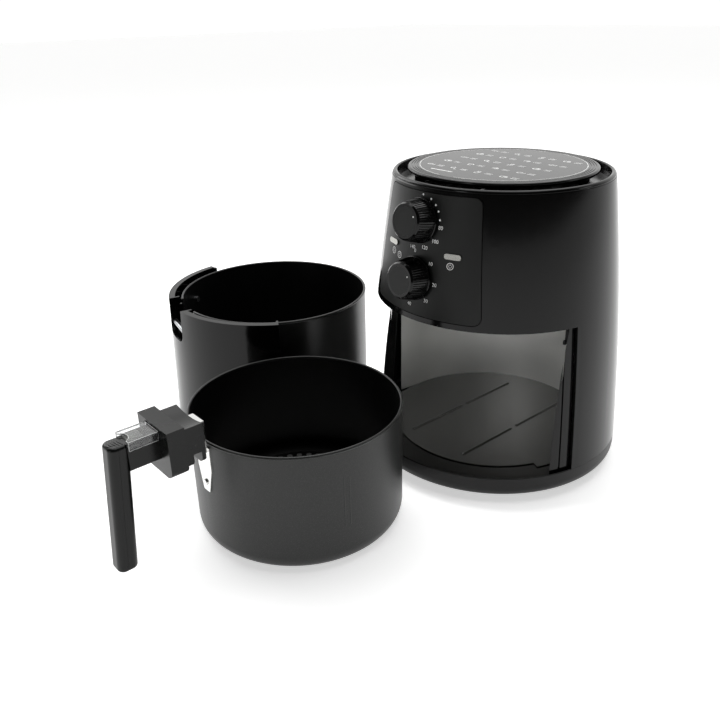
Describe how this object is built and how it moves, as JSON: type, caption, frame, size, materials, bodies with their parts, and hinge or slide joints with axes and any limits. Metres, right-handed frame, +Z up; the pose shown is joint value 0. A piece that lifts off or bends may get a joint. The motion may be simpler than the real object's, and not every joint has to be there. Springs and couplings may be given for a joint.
{
  "type": "air fryer",
  "caption": "Round countertop air fryer with a cooking cavity in front, standing beside its lift-out pan with a hollow front cover and its perforated basket with a handle.",
  "frame": {"origin": "bottom centre of the box round the housing, the pan and the basket as they stand on the table", "axes": "+Z up; the control panel and the drawer opening face -Y; +X to the right of someone facing them"},
  "size_m": [0.5036, 0.586, 0.3135],
  "materials": {
    "gloss_black": "gloss",
    "satin_black": "satin",
    "panel_black": "satin",
    "dark_plastic": "matt",
    "grey_plastic": "satin",
    "liner_metal": "satin",
    "coated_steel": "satin non-stick coating",
    "bright_steel": "polished",
    "zinc_steel": "plated",
    "element_steel": "oxidised",
    "copper": "enamelled wire",
    "ceramic_white": "matt",
    "rubber_black": "matt",
    "silver_lens": "metallised",
    "clear_plastic": "clear",
    "lamp_glass": "clear"
  },
  "bodies": {
    "housing": {"front_shell": "gloss_black", "rear_cover": "gloss_black", "rear_vent": "dark_plastic", "cord_inlet": "rubber_black", "control_panel": "panel_black", "side_jambs": "gloss_black", "base_tray": "satin_black", "floor_plate": "gloss_black", "rubber_feet": "rubber_black", "base_screws": "zinc_steel", "cavity_liner": "liner_metal", "cavity_floor": "coated_steel", "cavity_ceiling": "liner_metal", "heat_dome": "liner_metal", "heat_shield": "liner_metal", "heating_element": "element_steel", "element_clips": "zinc_steel", "motor_core": "zinc_steel", "motor_coil": "copper", "motor_bearings": "zinc_steel", "motor_screws": "zinc_steel", "motor_spacers": "zinc_steel", "thermal_fuse": "ceramic_white", "top_cover": "gloss_black", "top_lid": "gloss_black", "thermostat": "zinc_steel", "timer": "dark_plastic", "timer_bell": "zinc_steel", "indicator_lenses": "silver_lens", "indicator_lamps": "lamp_glass", "drawer_switch": "dark_plastic"},
    "fan": {"convection_fan": "liner_metal", "cooling_fan": "dark_plastic", "fan_shaft": "zinc_steel", "motor_rotor": "zinc_steel"},
    "temperature_control": {"temperature_knob": "gloss_black", "temperature_knob_cap": "satin_black", "temperature_shaft": "zinc_steel"},
    "timer_control": {"timer_knob": "gloss_black", "timer_knob_cap": "satin_black", "timer_shaft": "zinc_steel"},
    "switch_lever": {"switch_lever": "dark_plastic"},
    "pan": {"pan_shell": "coated_steel", "drawer_front": "gloss_black", "catch_pin": "zinc_steel", "cover_screws": "zinc_steel"},
    "basket": {"basket_shell": "coated_steel", "bracket_plate": "bright_steel", "bracket_screws": "bright_steel", "handle_block": "satin_black", "handle_flange": "satin_black", "handle_body": "satin_black", "handle_front": "satin_black", "handle_screws": "zinc_steel", "button_spring": "zinc_steel", "latch_pin": "zinc_steel"},
    "release_button": {"release_button": "grey_plastic"},
    "latch_hook": {"latch_hook": "zinc_steel"},
    "slide_guard": {"slide_guard": "clear_plastic"}
  },
  "joints": [
    {"name": "fan_spin", "type": "hinge", "parent": "housing", "child": "fan", "pos_m": [0.11262, 0.15174, 0.2335], "axis": [0, 0, 1], "continuous": true},
    {"name": "temperature_turn", "type": "hinge", "parent": "housing", "child": "temperature_control", "pos_m": [0.11262, 0.03641, 0.277], "axis": [0, 0.9903, -0.1389], "range_deg": [0, 270]},
    {"name": "timer_turn", "type": "hinge", "parent": "housing", "child": "timer_control", "pos_m": [0.11262, 0.02924, 0.222], "axis": [0, 0.9928, -0.1197], "range_deg": [0, 300]},
    {"name": "switch_press", "type": "hinge", "parent": "housing", "child": "switch_lever", "pos_m": [0.22502, 0.12374, 0.1905], "axis": [1, 0, 0], "range_deg": [0, 8], "stiffness_Nm_per_rad": 0.01, "springref_deg": -2.86},
    {"name": "pan_lift", "type": "slide", "parent": "housing", "child": "pan", "axis": [0, 0, 1], "range_m": [0, 0.15]},
    {"name": "basket_lift", "type": "slide", "parent": "housing", "child": "basket", "axis": [0, 0, 1], "range_m": [0, 0.15]},
    {"name": "guard_slide", "type": "slide", "parent": "basket", "child": "slide_guard", "axis": [0, 1, 0], "range_m": [0, 0.014]},
    {"name": "button_press", "type": "slide", "parent": "basket", "child": "release_button", "axis": [0, 0, -1], "range_m": [0, 0.003], "stiffness_N_per_m": 300, "springref_m": -0.002, "deforming": ["button_spring"]},
    {"name": "hook_turn", "type": "hinge", "parent": "basket", "child": "latch_hook", "pos_m": [0.07972, -0.21179, 0.1335], "axis": [1, 0, 0], "range_deg": [0, 3.82]}
  ],
  "couplings": [
    {"joint": "hook_turn", "follows": "button_press", "rad_per_m": 21.053}
  ]
}
